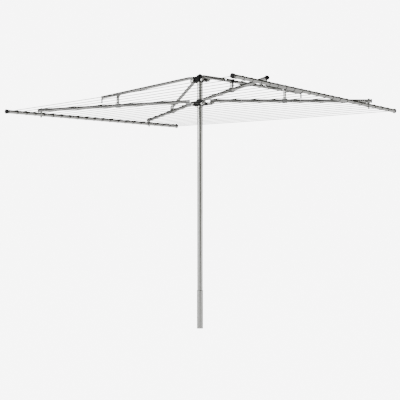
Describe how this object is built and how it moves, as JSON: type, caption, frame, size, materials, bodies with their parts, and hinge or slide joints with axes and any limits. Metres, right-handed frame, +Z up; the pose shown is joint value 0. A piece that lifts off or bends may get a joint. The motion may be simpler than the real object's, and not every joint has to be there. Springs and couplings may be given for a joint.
{
  "type": "rotary clothesline",
  "caption": "Rotary clothesline on a turning post: upper and lower folding arms carry two parallel bars with straight drying lines between them.",
  "frame": {"origin": "centre of the foot of the ground tube", "axes": "+X along the lines towards the right bar, +Y along the bars, +Z up the post"},
  "size_m": [2.4554, 2.0644, 2.068],
  "materials": {
    "galvanised_tube": "galvanised, satin",
    "zinc_hardware": "zinc plated",
    "black_plastic": "moulded, fine grain",
    "line_cord": "plastic covered line"
  },
  "bodies": {
    "ground": {"ground_tube": "galvanised_tube", "ground_bushes": "black_plastic"},
    "post": {"post_tube": "galvanised_tube", "post_spigot": "zinc_hardware", "top_hub": "black_plastic", "top_cap": "black_plastic", "top_hinge_pins": "zinc_hardware"},
    "upper_right": {"upper_arm_near_right": "galvanised_tube", "upper_arm_far_right": "galvanised_tube", "upper_knuckles_right": "galvanised_tube", "upper_end_feet_right": "black_plastic", "brace_bosses_right": "zinc_hardware", "brace_pins_right": "zinc_hardware"},
    "lower_right": {"lower_arm_near_right": "galvanised_tube", "lower_arm_far_right": "galvanised_tube", "lower_knuckles_right": "galvanised_tube", "brace_brackets_right": "zinc_hardware", "arm_end_caps_right": "black_plastic", "line_bar_right": "galvanised_tube", "bar_end_caps_right": "black_plastic", "bar_saddles_right": "zinc_hardware", "bar_bolts_right": "zinc_hardware", "bar_nuts_right": "zinc_hardware", "line_eyelets_right": "black_plastic", "lines_right": "line_cord"},
    "upper_left": {"upper_arm_near_left": "galvanised_tube", "upper_arm_far_left": "galvanised_tube", "upper_knuckles_left": "galvanised_tube", "upper_end_feet_left": "black_plastic", "brace_bosses_left": "zinc_hardware", "brace_pins_left": "zinc_hardware"},
    "lower_left": {"lower_arm_near_left": "galvanised_tube", "lower_arm_far_left": "galvanised_tube", "lower_knuckles_left": "galvanised_tube", "brace_brackets_left": "zinc_hardware", "arm_end_caps_left": "black_plastic", "line_bar_left": "galvanised_tube", "bar_end_caps_left": "black_plastic", "bar_saddles_left": "zinc_hardware", "bar_bolts_left": "zinc_hardware", "bar_nuts_left": "zinc_hardware", "line_eyelets_left": "black_plastic", "lines_left": "line_cord"},
    "slider": {"lower_hub": "black_plastic", "hub_bush": "black_plastic", "lower_hinge_pins": "zinc_hardware"},
    "knob": {"clamp_screw": "zinc_hardware", "clamp_knob": "black_plastic"}
  },
  "joints": [
    {"name": "post_turn", "type": "hinge", "parent": "ground", "child": "post", "pos_m": [0, 0, 0.309], "axis": [0, 0, 1], "continuous": true},
    {"name": "fold", "type": "hinge", "parent": "post", "child": "upper_right", "pos_m": [0.05, 0, 2.008], "axis": [0, 1, 0], "range_deg": [0, 75]},
    {"name": "brace_right", "type": "hinge", "parent": "upper_right", "child": "lower_right", "pos_m": [0.61, 0, 1.912], "axis": [0, 1, 0], "range_deg": [-150, 0]},
    {"name": "hub_right", "type": "hinge", "parent": "lower_right", "child": "slider", "pos_m": [0.05, 0, 1.816], "axis": [0, 1, 0], "range_deg": [0, 75]},
    {"name": "hub_left", "type": "hinge", "parent": "slider", "child": "lower_left", "pos_m": [-0.05, 0, 1.816], "axis": [0, 1, 0], "range_deg": [0, 75]},
    {"name": "upper_left_fold", "type": "hinge", "parent": "post", "child": "upper_left", "pos_m": [-0.05, 0, 2.008], "axis": [0, 1, 0], "range_deg": [-75, 0]},
    {"name": "knob_turn", "type": "hinge", "parent": "slider", "child": "knob", "pos_m": [0, 0.058, 1.828], "axis": [0, 1, 0], "range_deg": [0, 360]}
  ],
  "couplings": [
    {"joint": "brace_right", "follows": "fold", "ratio": -2},
    {"joint": "hub_right", "follows": "fold", "ratio": 1},
    {"joint": "hub_left", "follows": "fold", "ratio": 1},
    {"joint": "upper_left_fold", "follows": "fold", "ratio": -1}
  ]
}
